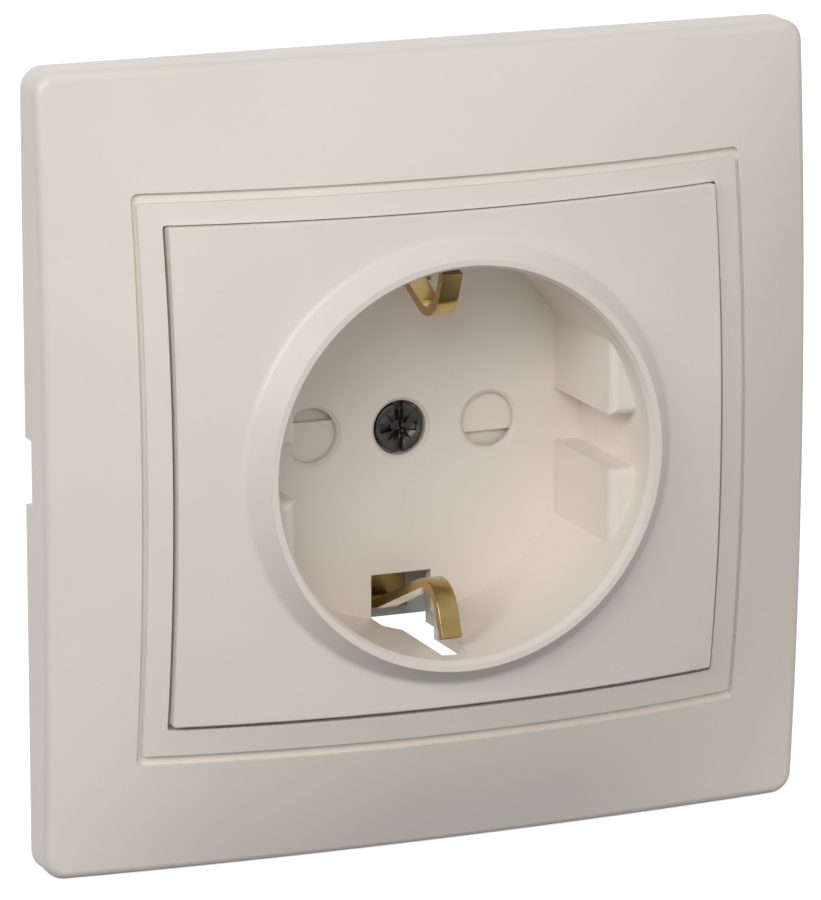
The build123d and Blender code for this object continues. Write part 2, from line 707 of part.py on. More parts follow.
rear_face = body_back - rear_cover_thickness
with BuildPart() as rear_cover_screws:
    with BuildSketch(facing(rear_face)):
        with Locations((-rear_screw_x, rear_screw_z), (rear_screw_x, rear_screw_z)):
            Circle(rear_head_radius)
    extrude(amount=-rear_head_height)
    with BuildSketch(facing(rear_face)):
        with Locations((-rear_screw_x, rear_screw_z), (rear_screw_x, rear_screw_z)):
            Circle(rear_screw_radius)
    extrude(amount=rear_screw_length)
    with BuildSketch(facing(rear_face - rear_head_height)):
        with Locations((-rear_screw_x, rear_screw_z), (rear_screw_x, rear_screw_z)):
            Rectangle(rear_slot_width, 2 * rear_head_radius)
    extrude(amount=rear_head_height / 2, mode=Mode.SUBTRACT)
rear_cover_screws.part.label = "rear_cover_screws"
export_step(rear_cover_screws.part, "parts/rear_cover_screws.step")


# ================================================================ live contacts, earth strap and terminals
def terminal_cage(x):
    """Open-ended box clamp that stands behind the strap, with a threaded hole in its lower wall."""
    with BuildPart() as cage:
        with BuildSketch(facing(-strap_depth - sheet)):
            with Locations((x, (cage_top_z + cage_bottom_z) / 2)):
                Rectangle(cage_width, cage_top_z - cage_bottom_z)
                Rectangle(
                    cage_width - 2 * cage_wall, cage_top_z - cage_bottom_z - 2 * cage_wall, mode=Mode.SUBTRACT
                )
        extrude(amount=-cage_depth)
        with BuildSketch(Plane(origin=(x, sum(clamp_depths) / 2, cage_bottom_z), z_dir=(0, 0, 1))):
            Circle(terminal_screw_radius + running_gap)
        extrude(amount=2 * cage_wall, both=True, mode=Mode.SUBTRACT)
    return cage.part


for side in ("left", "right"):
    x = terminal_x[side]
    with BuildPart() as live_contact:
        with BuildSketch(facing(-sleeve_front_depth)):
            with Locations((x, 0)):
                Circle(sleeve_radius)
        extrude(amount=sleeve_front_depth - sleeve_back_depth)
        with BuildSketch(facing(-strap_depth)):
            with Locations((x, (sleeve_strap_top + cage_bottom_z) / 2)):
                Rectangle(strap_width, sleeve_strap_top - cage_bottom_z)
        extrude(amount=-sheet)
        with BuildSketch(facing(-sleeve_front_depth)):
            with Locations((x, 0)):
                Circle(sleeve_bore_radius)
            with Locations((x, sleeve_radius)):
                Rectangle(sleeve_slit, 2 * sleeve_radius)
        extrude(amount=sleeve_front_depth - sleeve_back_depth, mode=Mode.SUBTRACT)
        add(terminal_cage(x))
    live_contact.part.label = f"live_contact_{side}"
    export_step(live_contact.part, f"parts/live_contact_{side}.step")

    with BuildPart() as contact_spring:
        with BuildSketch(facing(-spring_ring_depth)):
            with Locations((x, 0)):
                Circle(sleeve_radius + running_gap + spring_ring_wall)
                Circle(sleeve_radius + running_gap, mode=Mode.SUBTRACT)
            with Locations((x, sleeve_radius)):
                Rectangle(2 * sleeve_slit, sleeve_radius, mode=Mode.SUBTRACT)
        extrude(amount=-spring_ring_length)
    contact_spring.part.label = f"contact_spring_{side}"
    export_step(contact_spring.part, f"parts/contact_spring_{side}.step")

with BuildPart() as earth_strap:
    with BuildSketch(facing(-strap_depth)):
        Rectangle(strap_width, 2 * clip_root_z + sheet)
    extrude(amount=-sheet)
    with BuildSketch(facing(-strap_depth)):
        with Locations((0, clip_root_z), (0, -clip_root_z)):
            Rectangle(strap_width, sheet)
    extrude(amount=strap_depth - clip_root_depth)
    with BuildSketch(facing(-strap_tab_depth)):
        tab_middle = clip_root_z - strap_tab_length / 2
        with Locations((0, tab_middle), (0, -tab_middle)):
            Rectangle(strap_width, strap_tab_length)
    extrude(amount=-sheet)
    add(terminal_cage(terminal_x["earth"]))
earth_strap.part.label = "earth_strap"
export_step(earth_strap.part, "parts/earth_strap.step")

for place, up in {"upper": 1, "lower": -1}.items():
    with BuildPart() as earth_clip:
        with BuildSketch(Plane.YZ):
            with BuildLine():
                FilletPolyline(
                    (clip_root_depth, up * clip_root_z),
                    (clip_knee_depth, up * clip_root_z),
                    (-clip_peak[0], up * clip_peak[1]),
                    (-clip_tip[0], up * clip_tip[1]),
                    radius=[clip_knee_radius, clip_bend_radius],
                )
            trace(line_width=clip_thickness)
        extrude(amount=clip_width / 2, both=True)
    earth_clip.part.label = f"{place}_earth_clip"
    export_step(earth_clip.part, f"parts/{place}_earth_clip.step")

for side, x in terminal_x.items():
    screw_plane = Plane(origin=(x, sum(clamp_depths) / 2, clamp_top_z - clamp_thickness), z_dir=(0, 0, 1))
    with BuildPart() as clamp_plate:
        with BuildSketch(screw_plane):
            Rectangle(clamp_width, clamp_depths[1] - clamp_depths[0])
        extrude(amount=clamp_thickness)
    clamp_plate.part.label = f"clamp_plate_{side}"
    export_step(clamp_plate.part, f"parts/clamp_plate_{side}.step")

    with BuildPart() as terminal_screw:
        shank = clamp_top_z - clamp_thickness - terminal_screw_end_z
        with BuildSketch(screw_plane):
            Circle(terminal_screw_radius)
        extrude(amount=-shank)
        with BuildSketch(screw_plane.offset(-shank)):
            Circle(terminal_head_radius)
        extrude(amount=-terminal_head_height)
        with BuildSketch(screw_plane.offset(-shank - terminal_head_height)):
            Rectangle(2 * terminal_head_radius, terminal_slot_width)
        extrude(amount=terminal_head_height / 2, mode=Mode.SUBTRACT)
    terminal_screw.part.label = f"terminal_screw_{side}"
    export_step(terminal_screw.part, f"parts/terminal_screw_{side}.step")

# ================================================================ claws
for name, side in claw_sides.items():
    z = -side * claw_offset_z
    claw_plane = Plane(origin=(0, 0, z), x_dir=(1, 0, 0), z_dir=(0, 0, 1))
    with BuildPart() as claw:
        with BuildSketch(claw_plane):
            with BuildLine():
                outer_x = claw_inner_x + claw_sheet
                tooth_x = outer_x + claw_tooth_height
                first_tooth = claw_end_depth - 2 * claw_tooth_pitch
                Polyline(
                    (side * claw_inner_x, claw_pivot_depth - claw_pivot_margin),
                    (side * outer_x, claw_pivot_depth - claw_pivot_margin),
                    (side * outer_x, first_tooth),
                    (side * tooth_x, first_tooth + claw_tooth_pitch / 2),
                    (side * outer_x, first_tooth + claw_tooth_pitch),
                    (side * tooth_x, first_tooth + 1.5 * claw_tooth_pitch),
                    (side * outer_x, claw_end_depth),
                    (side * claw_inner_x, claw_end_depth),
                    (side * claw_inner_x, claw_ramp_back_depth),
                    (side * (claw_inner_x - claw_ramp_rise), claw_ramp_front_depth),
                    (side * claw_inner_x, claw_ramp_front_depth - claw_sheet),
                    close=True,
                )
            make_face()
        extrude(amount=claw_width / 2, both=True)
        with BuildSketch(claw_plane):
            ramp_middle = (claw_ramp_front_depth + claw_ramp_back_depth) / 2
            with Locations((side * (claw_inner_x - claw_ramp_rise), ramp_middle)):
                Rectangle(2 * claw_ramp_rise, 2 * claw_ramp_back_depth)
        extrude(amount=claw_screw_radius + claw_slot_clearance, both=True, mode=Mode.SUBTRACT)
        with BuildSketch(claw_plane):
            with Locations((side * claw_pivot_x, claw_pivot_depth)):
                Circle(claw_pin_radius)
        extrude(amount=claw_ear_z + claw_ear_sheet / 2, both=True)
    claw.part.label = f"claw_{name}"
    export_step(claw.part, f"parts/claw_{name}.step")

    with BuildPart() as claw_nut:
        with BuildSketch(facing(-claw_nut_depths[0])):
            with Locations((side * claw_screw_x, z)):
                Rectangle(claw_nut_width, claw_width - 2 * claw_clearance)
                Circle(claw_screw_radius + running_gap, mode=Mode.SUBTRACT)
        extrude(amount=claw_nut_depths[0] - claw_nut_depths[1])
    claw_nut.part.label = f"claw_nut_{name}"
    export_step(claw_nut.part, f"parts/claw_nut_{name}.step")

    with BuildPart() as claw_screw:
        with BuildSketch(facing(plate_thickness)):
            with Locations((side * claw_screw_x, z)):
                Circle(claw_head_radius)
        extrude(amount=claw_head_height)
        with BuildSketch(facing(plate_thickness)):
            with Locations((side * claw_screw_x, z)):
                Circle(claw_screw_radius)
        extrude(amount=-plate_thickness - claw_screw_end_depth)
        with BuildSketch(facing(plate_thickness + claw_head_height)):
            with Locations((side * claw_screw_x, z)):
                Rectangle(2 * claw_head_radius, terminal_slot_width)
        extrude(amount=-claw_head_height / 2, mode=Mode.SUBTRACT)
    claw_screw.part.label = f"claw_screw_{name}"
    export_step(claw_screw.part, f"parts/claw_screw_{name}.step")
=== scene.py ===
"""Flush wall socket: finishes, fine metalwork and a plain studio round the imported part."""

import json
import math

import bmesh
import bpy
from bpy.props import FloatProperty, FloatVectorProperty, PointerProperty
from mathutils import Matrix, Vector

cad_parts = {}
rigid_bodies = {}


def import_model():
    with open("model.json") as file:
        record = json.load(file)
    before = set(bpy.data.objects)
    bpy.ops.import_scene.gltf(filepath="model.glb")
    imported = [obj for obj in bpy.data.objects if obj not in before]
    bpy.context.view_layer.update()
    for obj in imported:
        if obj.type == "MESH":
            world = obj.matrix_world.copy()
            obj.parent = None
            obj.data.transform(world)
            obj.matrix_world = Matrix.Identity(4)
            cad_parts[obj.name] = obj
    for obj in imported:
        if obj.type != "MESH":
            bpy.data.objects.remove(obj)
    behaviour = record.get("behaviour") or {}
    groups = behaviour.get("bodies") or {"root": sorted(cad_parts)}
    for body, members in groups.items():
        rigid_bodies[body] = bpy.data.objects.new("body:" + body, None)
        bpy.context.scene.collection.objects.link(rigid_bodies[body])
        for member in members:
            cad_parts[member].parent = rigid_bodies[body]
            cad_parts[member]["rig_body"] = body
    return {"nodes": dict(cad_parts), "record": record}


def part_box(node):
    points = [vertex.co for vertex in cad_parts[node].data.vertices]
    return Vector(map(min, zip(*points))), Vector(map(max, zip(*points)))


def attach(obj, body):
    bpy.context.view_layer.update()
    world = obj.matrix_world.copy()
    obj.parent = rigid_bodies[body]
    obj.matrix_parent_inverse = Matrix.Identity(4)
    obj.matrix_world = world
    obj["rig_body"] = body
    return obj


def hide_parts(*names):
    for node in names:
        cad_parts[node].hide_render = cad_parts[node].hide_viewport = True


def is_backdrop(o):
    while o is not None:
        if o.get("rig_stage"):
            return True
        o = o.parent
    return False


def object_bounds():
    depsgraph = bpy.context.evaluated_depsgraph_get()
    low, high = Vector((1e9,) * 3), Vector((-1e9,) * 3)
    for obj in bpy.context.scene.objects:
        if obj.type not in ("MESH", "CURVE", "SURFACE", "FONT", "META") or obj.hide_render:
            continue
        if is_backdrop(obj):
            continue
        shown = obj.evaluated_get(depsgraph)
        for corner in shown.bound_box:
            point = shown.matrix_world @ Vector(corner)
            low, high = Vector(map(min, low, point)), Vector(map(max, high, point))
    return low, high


bl_info = {
    "name": "Flush wall socket",
    "version": (1, 0, 0),
    "blender": (4, 5, 0),
    "location": "3D View > Sidebar > Socket",
    "description": "Plastics, metals, screw threads and studio for a flush wall socket",
    "category": "Object",
}

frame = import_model()
MM = 0.001


def millimetres(name, description, default):
    return FloatProperty(name=name, description=description, default=default * MM,
                         subtype="DISTANCE", unit="LENGTH", precision=5)


def colour(name, description, default):
    return FloatVectorProperty(name=name, description=description, default=default,
                               size=3, min=0, max=1, subtype="COLOR")


def share(name, description, default):
    return FloatProperty(name=name, description=description, default=default,
                         min=0, max=1, subtype="FACTOR")


def degrees(name, description, default):
    return FloatProperty(name=name, description=description,
                         default=math.radians(default), subtype="ANGLE", unit="ROTATION")


class SocketPlastics(bpy.types.PropertyGroup):
    """Colours and surface of the moulded pieces."""
    cream: colour("Cream", "Frame and centre cover", (0.880, 0.812, 0.737))
    shutter: colour("Shutter", "Blades behind the pin holes", (0.890, 0.812, 0.727))
    insert: colour("Insert", "Base body, rear cover and shutter retainer", (0.780, 0.775, 0.745))
    gloss: share("Roughness", "Roughness of the satin faces", 0.36)
    grain: millimetres("Grain", "Height of the fine grain in the face", 0.004)
    edge: millimetres("Edge", "Softening of the moulded edges", 0.12)


class SocketMetals(bpy.types.PropertyGroup):
    """Colours of the metal pieces."""
    brass: colour("Brass", "Contacts, earth strip and earth clips", (0.600, 0.430, 0.165))
    zinc: colour("Zinc", "Plated plate, claws and screws", (0.560, 0.565, 0.575))
    dark: colour("Dark steel", "Blackened centre screw", (0.105, 0.104, 0.102))
    spring: colour("Spring steel", "Springs and retaining ring", (0.400, 0.400, 0.410))
    edge: millimetres("Edge", "Softening of the sheared edges", 0.08)


class SocketFittings(bpy.types.PropertyGroup):
    """Sizes of the threads and the moulded details."""
    centre_pitch: millimetres("Centre screw pitch", "Thread pitch of the centre screw", 0.5)
    screw_pitch: millimetres("Screw pitch", "Thread pitch of the claw and terminal screws", 0.7)
    thread_depth: millimetres("Thread depth", "From crest to root", 0.30)
    deep_head: millimetres("Deep head", "Height of the centre and terminal screws' heads", 1.6)
    flat_head: millimetres("Flat head", "Height of the claw screws' heads", 1.4)
    centre_shank: millimetres("Centre shank", "Radius of the centre screw's shank", 1.45)
    screw_shank: millimetres("Screw shank", "Radius of the other screws' shanks", 1.4)
    clip_edge: millimetres("Clip edge", "Rounding of the earth clips' edges", 0.14)
    relief: millimetres("Relief", "Height of the raised marks on the rear cover", 0.35)
    rib: millimetres("Rib", "Thickness of the frame's inner ribs", 0.8)


class SocketStage(bpy.types.PropertyGroup):
    """Camera, floor and lights."""
    azimuth: degrees("Azimuth", "Camera's turn to the left of the front", 22.44)
    elevation: degrees("Elevation", "Camera's height above level", 13.61)
    distance: FloatProperty(name="Distance", description="Camera to target",
                            default=0.6191, subtype="DISTANCE", unit="LENGTH")
    aim: millimetres("Aim", "Target's height over the middle", -1.67)
    lens: FloatProperty(name="Lens", description="Focal length in millimetres", default=250.15)
    paper_glow: FloatProperty(name="Paper glow", description="Light of the floor itself",
                              default=0.62)
    light_distance: FloatProperty(name="Light distance", description="Softboxes to the socket",
                                  default=0.9, subtype="DISTANCE", unit="LENGTH")
    floor_radius: FloatProperty(name="Floor radius", description="Round sheet of paper",
                                default=4.0, subtype="DISTANCE", unit="LENGTH")
    softbox: FloatProperty(name="Softbox", description="Diameter of each softbox",
                           default=0.4, subtype="DISTANCE", unit="LENGTH")


class Finish:
    """One procedural material, with short ways to add its nodes."""

    def __init__(self, name):
        self.material = bpy.data.materials.new(name)
        self.material.use_nodes = True
        self.tree = self.material.node_tree
        self.tree.nodes.clear()
        self.output = self.add("ShaderNodeOutputMaterial")
        self.shader = self.add("ShaderNodeBsdfPrincipled")
        self.join(self.shader.outputs["BSDF"], self.output.inputs["Surface"])
        self.place = self.add("ShaderNodeTexCoord").outputs["Object"]

    def add(self, kind, inputs=None, **settings):
        made = self.tree.nodes.new(kind)
        for key, value in settings.items():
            setattr(made, key, value)
        for key, value in (inputs or {}).items():
            self.feed(made.inputs[key], value)
        return made

    def join(self, source, target):
        self.tree.links.new(source, target)

    def feed(self, socket, value):
        if isinstance(value, bpy.types.NodeSocket):
            self.join(value, socket)
        else:
            socket.default_value = value

    def maths(self, operation, a, b=0.0, clamp=False):
        return self.add("ShaderNodeMath", {0: a, 1: b}, operation=operation,
                        use_clamp=clamp).outputs[0]

    def stretched(self, scale):
        return self.add("ShaderNodeMapping", {"Vector": self.place, "Scale": scale}).outputs[0]

    def noise(self, per_metre, detail=3.0, roughness=0.5, place=None):
        return self.add("ShaderNodeTexNoise", {
            "Vector": place or self.place, "Scale": per_metre, "Detail": detail,
            "Roughness": roughness}).outputs["Fac"]

    def remap(self, value, low, high, to_low=0.0, to_high=1.0):
        return self.add("ShaderNodeMapRange", {
            "Value": value, "From Min": low, "From Max": high,
            "To Min": to_low, "To Max": to_high}).outputs["Result"]

    def mix(self, share, a, b):
        made = self.add("ShaderNodeMix", data_type="RGBA")
        for key, value in (("Factor", share), ("A", a), ("B", b)):
            socket = [s for s in made.inputs if s.name == key and
                      s.type == ("VALUE" if key == "Factor" else "RGBA")][0]
            self.feed(socket, value)
        return [s for s in made.outputs if s.type == "RGBA"][0]

    def soft_edges(self, radius):
        """The rounded normal, and where an edge is."""
        rounded = self.add("ShaderNodeBevel", {"Radius": radius}, samples=4).outputs[0]
        flat = self.add("ShaderNodeNewGeometry").outputs["Normal"]
        facing = self.add("ShaderNodeVectorMath", {0: rounded, 1: flat},
                          operation="DOT_PRODUCT").outputs["Value"]
        return rounded, self.remap(facing, 0.995, 0.80)

    def bump(self, height, distance, normal, strength=1.0):
        return self.add("ShaderNodeBump", {
            "Height": height, "Distance": distance, "Normal": normal,
            "Strength": strength}).outputs[0]

    def set(self, **values):
        for key, value in values.items():
            self.feed(self.shader.inputs[key.replace("_", " ")], value)


ROLLING_LINES = (40, 40, 900)    # waves per metre along each axis
TARNISH_PATCHES = 90


def shaded(rgb, factor):
    return tuple(min(1.0, c * factor) for c in rgb) + (1.0,)


def moulded_plastic(name, rgb, roughness, grain, edge, mottle=0.02):
    """Satin injection moulding: faint mottle, fine grain, rubbed edges."""
    m = Finish(name)
    rounded, at_edge = m.soft_edges(edge)
    cloud = m.noise(55, 3)
    body = m.mix(m.remap(cloud, 0.3, 0.7), shaded(rgb, 1 - mottle), shaded(rgb, 1 + mottle))
    speck = m.noise(900, 2)
    body = m.mix(m.remap(speck, 0.62, 0.75, 0, 0.35), body, shaded(rgb, 0.94))
    m.set(Base_Color=m.mix(m.maths("MULTIPLY", at_edge, 0.55), body, shaded(rgb, 1.09)))
    rough = m.remap(m.noise(140, 4), 0.25, 0.75, roughness - 0.04, roughness + 0.05)
    m.set(Roughness=m.maths("SUBTRACT", rough, m.maths("MULTIPLY", at_edge, 0.08)))
    wave = m.bump(m.noise(70, 1), 0.00006, rounded)
    m.set(Normal=m.bump(m.noise(4200, 2, 0.6), grain, wave))
    m.set(IOR=1.48)
    return m.material


def sheet_metal(name, rgb, roughness, edge, tarnish, worn):
    """Rolled or turned metal: grain lines, patches of tarnish, bright worn edges."""
    m = Finish(name)
    rounded, at_edge = m.soft_edges(edge)
    lines = m.noise(1.0, 4, 0.6, m.stretched(ROLLING_LINES))
    blotch = m.remap(m.noise(TARNISH_PATCHES, 5, 0.6), 0.42, 0.72)
    body = m.mix(m.remap(lines, 0.3, 0.7), shaded(rgb, 0.90), shaded(rgb, 1.06))
    body = m.mix(m.maths("MULTIPLY", blotch, 0.55), body, tarnish + (1.0,))
    m.set(Base_Color=m.mix(m.maths("MULTIPLY", at_edge, 0.7), body, worn + (1.0,)))
    rough = m.remap(lines, 0.25, 0.75, roughness - 0.06, roughness + 0.08)
    rough = m.maths("ADD", rough, m.maths("MULTIPLY", blotch, 0.10))
    m.set(Roughness=m.maths("SUBTRACT", rough, m.maths("MULTIPLY", at_edge, 0.08), True))
    scratch = m.bump(lines, 0.000006, rounded)
    m.set(Normal=m.bump(m.noise(2600, 3), 0.000004, scratch), Metallic=1.0)
    return m.material


SATIN_GRAIN = 0.1        # shares of the grain's height
MATT_GRAIN = 0.2
MATT_ROUGHNESS = 0.55


class SOCKET_OT_plastics(bpy.types.Operator):
    """Give the moulded pieces their plastics"""
    bl_idname = "socket.plastics"
    bl_label = "Plastics"

    def execute(self, context):
        s = context.scene.socket_plastics
        satin, matt = s.grain * SATIN_GRAIN, s.grain * MATT_GRAIN
        dress({
            "frame_plastic": moulded_plastic("cream satin frame", s.cream, s.gloss, satin, s.edge),
            "cover_plastic": moulded_plastic("cream satin cover", s.cream, s.gloss, satin, s.edge),
            "shutter_plastic": moulded_plastic("shutter plastic", s.shutter, s.gloss, satin, s.edge),
            "insert_plastic": moulded_plastic(
                "matt insert plastic", s.insert, MATT_ROUGHNESS, matt, s.edge, mottle=0.04),
        })
        return {"FINISHED"}


class SOCKET_OT_metals(bpy.types.Operator):
    """Give the metal pieces their finishes"""
    bl_idname = "socket.metals"
    bl_label = "Metals"

    def execute(self, context):
        s = context.scene.socket_metals
        dress({
            "brass": sheet_metal("rolled brass", s.brass, 0.20, s.edge,
                                 tarnish=(0.30, 0.21, 0.09), worn=(0.90, 0.72, 0.38)),
            "zinc_steel": sheet_metal("zinc plate", s.zinc, 0.34, s.edge,
                                      tarnish=(0.46, 0.44, 0.38), worn=(0.78, 0.78, 0.80)),
            "dark_steel": sheet_metal("blackened steel", s.dark, 0.34, s.edge,
                                      tarnish=(0.170, 0.170, 0.165), worn=(0.40, 0.39, 0.38)),
            "spring_steel": sheet_metal("spring steel", s.spring, 0.28, s.edge,
                                        tarnish=(0.30, 0.27, 0.22), worn=(0.62, 0.62, 0.64)),
        })
        return {"FINISHED"}


def dress(finishes):
    """Each CAD node's slot gives it its finish."""
    for piece in frame["nodes"].values():
        for i, old in enumerate(piece.data.materials):
            if old and old.name in finishes:
                piece.data.materials[i] = finishes[old.name]


def made(name, b, like, body, smooth):
    """A new piece from a mesh in hand, finished like a CAD node and riding on a body."""
    mesh = bpy.data.meshes.new(name)
    bmesh.ops.recalc_face_normals(b, faces=b.faces)
    b.to_mesh(mesh)
    b.free()
    mesh.shade_smooth()
    mesh.set_sharp_from_angle(angle=math.radians(smooth))
    mesh.materials.append(frame["nodes"][like].data.materials[0])
    piece = bpy.data.objects.new(name, mesh)
    bpy.context.scene.collection.objects.link(piece)
    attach(piece, body)
    return piece


def body_of(node):
    return frame["nodes"][node]["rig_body"]


def add_thread(b, foot, along, length, crest, depth, pitch):
    """Turned shank with a V thread that fades in under the head and ends in a chamfer."""
    across = along.orthogonal().normalized()
    third = along.cross(across)
    steps, round_steps = int(length / pitch * 8), 28
    rings = []
    for i in range(steps + 1):
        far = length * i / steps
        room = min(1.0, max(0.0, (far - 0.8 * pitch) / pitch))
        ring = []
        for j in range(round_steps):
            turn = j / round_steps
            phase = (far / pitch - turn) % 1.0
            cut = depth * room * (1 - abs(2 * phase - 1))
            radius = min(crest - cut, crest - 0.9 * depth + (length - far))
            angle = turn * math.tau
            ring.append(b.verts.new(foot + along * far
                                    + (across * math.cos(angle) + third * math.sin(angle)) * radius))
        rings.append(ring)
    for low, high in zip(rings, rings[1:]):
        for j in range(round_steps):
            k = (j + 1) % round_steps
            b.faces.new((low[j], low[k], high[k], high[j]))
    b.faces.new(rings[-1])
    b.faces.new(list(reversed(rings[0])))


def threaded(node, axis, head, pitch, depth, shank):
    """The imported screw's own head, at the low end of the axis, on a threaded shank."""
    low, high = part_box(node)
    joined = 0.001 * MM
    overlap = 0.02 * MM
    along = Vector([1.0 if i == axis else 0.0 for i in range(3)])
    middle = (low + high) / 2
    foot = middle.copy()
    foot[axis] = low[axis] + head
    b = bmesh.new()
    b.from_mesh(frame["nodes"][node].data)
    bmesh.ops.remove_doubles(b, verts=b.verts, dist=joined)
    bmesh.ops.bisect_plane(b, geom=b.verts[:] + b.edges[:] + b.faces[:], dist=joined,
                           plane_co=foot + along * overlap, plane_no=along, clear_outer=True)
    add_thread(b, foot, along, high[axis] - foot[axis], shank, depth, pitch)
    screw = made("threaded_" + node, b, node, body_of(node), 35)
    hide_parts(node)


FINE_DEPTH = 0.7         # the centre screw's thread depth as a share of the others'


class SOCKET_OT_screws(bpy.types.Operator):
    """Put real threads on the screws"""
    bl_idname = "socket.screws"
    bl_label = "Screw threads"

    def execute(self, context):
        s = context.scene.socket_fittings
        threaded("centre_screw", 1, s.deep_head, s.centre_pitch, FINE_DEPTH * s.thread_depth, s.centre_shank)
        for side in ("left", "right"):
            threaded(f"claw_screw_{side}", 1, s.flat_head, s.screw_pitch, s.thread_depth, s.screw_shank)
        for side in ("left", "earth", "right"):
            threaded(f"terminal_screw_{side}", 2, s.deep_head, s.screw_pitch, s.thread_depth, s.screw_shank)
        return {"FINISHED"}


class SOCKET_OT_clips(bpy.types.Operator):
    """Round the edges of the earth clips' bent strips"""
    bl_idname = "socket.clips"
    bl_label = "Earth clips"

    def execute(self, context):
        s = context.scene.socket_fittings
        for place in ("upper", "lower"):
            clip = frame["nodes"][f"{place}_earth_clip"]
            weld = clip.modifiers.new("join faces", "WELD")
            weld.merge_threshold = 0.001 * MM
            flat = clip.modifiers.new("flat sides", "DECIMATE")
            flat.decimate_type, flat.angle_limit = "DISSOLVE", math.radians(0.5)
            edge = clip.modifiers.new("rounded edges", "BEVEL")
            edge.width, edge.segments, edge.limit_method = s.clip_edge, 3, "ANGLE"
            edge.angle_limit, edge.harden_normals = math.radians(50), True
        return {"FINISHED"}


def add_block(b, corners, thickness, direction):
    """A flat outline given thickness along a direction."""
    face = b.faces.new([b.verts.new(c) for c in corners])
    pushed = bmesh.ops.extrude_face_region(b, geom=[face])
    bmesh.ops.translate(b, vec=Vector(direction).normalized() * thickness,
                        verts=[v for v in pushed["geom"] if isinstance(v, bmesh.types.BMVert)])


def add_turned(b, middle, axis, outline):
    """A closed outline of (radius, height) turned about an axis through middle."""
    segments = 48
    axis = Vector(axis).normalized()
    across = axis.orthogonal().normalized()
    third = axis.cross(across)
    rings = []
    for j in range(segments):
        out = across * math.cos(j / segments * math.tau) + third * math.sin(j / segments * math.tau)
        rings.append([b.verts.new(middle + out * radius + axis * height) for radius, height in outline])
    for j in range(segments):
        here, there = rings[j], rings[(j + 1) % segments]
        for i in range(len(outline)):
            k = (i + 1) % len(outline)
            b.faces.new((here[i], here[k], there[k], there[i]))


def add_bar(b, start, end, width, base, height):
    """A raised bar with sloping sides on a face looking along +Y."""
    slope = 0.3 * height
    start, end = Vector((start[0], base, start[1])), Vector((end[0], base, end[1]))
    run = (end - start).normalized()
    side = run.cross(Vector((0, 1, 0)))
    half = side * width / 2
    low = [start - half, start + half, end + half, end - half]
    middle = (start + end) / 2
    top = []
    for corner in low:
        away = corner - middle
        inward = (run * math.copysign(slope, away.dot(run))
                  + side * math.copysign(slope, away.dot(side)))
        top.append(corner - inward + Vector((0, height, 0)))
    v = [b.verts.new(c) for c in low + top]
    for quad in ((3, 2, 1, 0), (4, 5, 6, 7), (0, 1, 5, 4), (1, 2, 6, 5), (2, 3, 7, 6), (3, 0, 4, 7)):
        b.faces.new([v[i] for i in quad])


def add_wire_funnels(b, face, lift):
    """A raised lead-in round each wire entry."""
    bores = [m for m in frame["record"]["mounts"] if m["name"].startswith("wire_entry")]
    if len(bores) != 3:
        raise RuntimeError("the rear cover should have three wire entries")
    sunk = 0.1 * MM
    for mount in bores:
        bore = mount["dims"]["r_mm"] * MM
        middle = Vector((mount["pos_m"][0], face, mount["pos_m"][2]))
        add_turned(b, middle, (0, 1, 0), [
            (bore, -sunk), (bore, sunk),
            (bore + 0.6 * MM, 2 * lift), (bore + 0.9 * MM, 2 * lift),
            (bore + 1.1 * MM, lift), (bore + 1.2 * MM, -sunk)])


def add_stripping_gauge(b, base, lift):
    """A framed scale that shows how far to strip a wire."""
    middle_z, half_x, half_z = 4.0 * MM, 6.0 * MM, 1.3 * MM
    frame_line, scale_line, corner_overlap = 0.5 * MM, 0.25 * MM, 0.2 * MM
    for z in (middle_z - half_z, middle_z + half_z):
        add_bar(b, (-half_x, z), (half_x, z), frame_line, base, lift)
    for x in (-half_x, half_x):
        add_bar(b, (x, middle_z - half_z - corner_overlap), (x, middle_z + half_z + corner_overlap),
                frame_line, base, lift)
    for i in range(1, 6):
        x = half_x * (i / 3 - 1)
        tip = 0.4 * MM if i % 2 else 0.8 * MM
        add_bar(b, (x, middle_z - half_z), (x, middle_z - tip), scale_line, base, lift)


def add_earth_mark(b, base, lift):
    """A stem on three bars that get shorter."""
    mark_z, stem, step = -8.2 * MM, 2.2 * MM, 0.8 * MM
    add_bar(b, (0, mark_z + stem), (0, mark_z), 0.45 * MM, base, lift)
    for i, half in enumerate((1.7, 1.1, 0.5)):
        z = mark_z - i * step
        add_bar(b, (-half * MM, z), (half * MM, z), 0.4 * MM, base, lift)


def add_date_clocks(b, base, lift):
    """Two rings of twelve ticks with a pointer."""
    ring_in, ring_out, ring_foot = 1.9 * MM, 2.2 * MM, 2.3 * MM
    tick_in, tick_out, pointer = 1.2 * MM, 1.65 * MM, 0.8 * MM
    mark_lift = 0.7 * lift
    for x in (-7.5 * MM, 7.5 * MM):
        clock = Vector((x, base, 15.5 * MM))
        add_turned(b, clock, (0, 1, 0), [(ring_in, 0), (ring_in, lift), (ring_out, lift), (ring_foot, 0)])
        for i in range(12):
            angle = i / 12 * math.tau
            inner, outer = ((clock.x + reach * math.cos(angle), clock.z + reach * math.sin(angle))
                            for reach in (tick_in, tick_out))
            add_bar(b, inner, outer, 0.2 * MM, base, mark_lift)
        add_bar(b, (clock.x, clock.z - pointer), (clock.x, clock.z + pointer), 0.3 * MM, base, mark_lift)


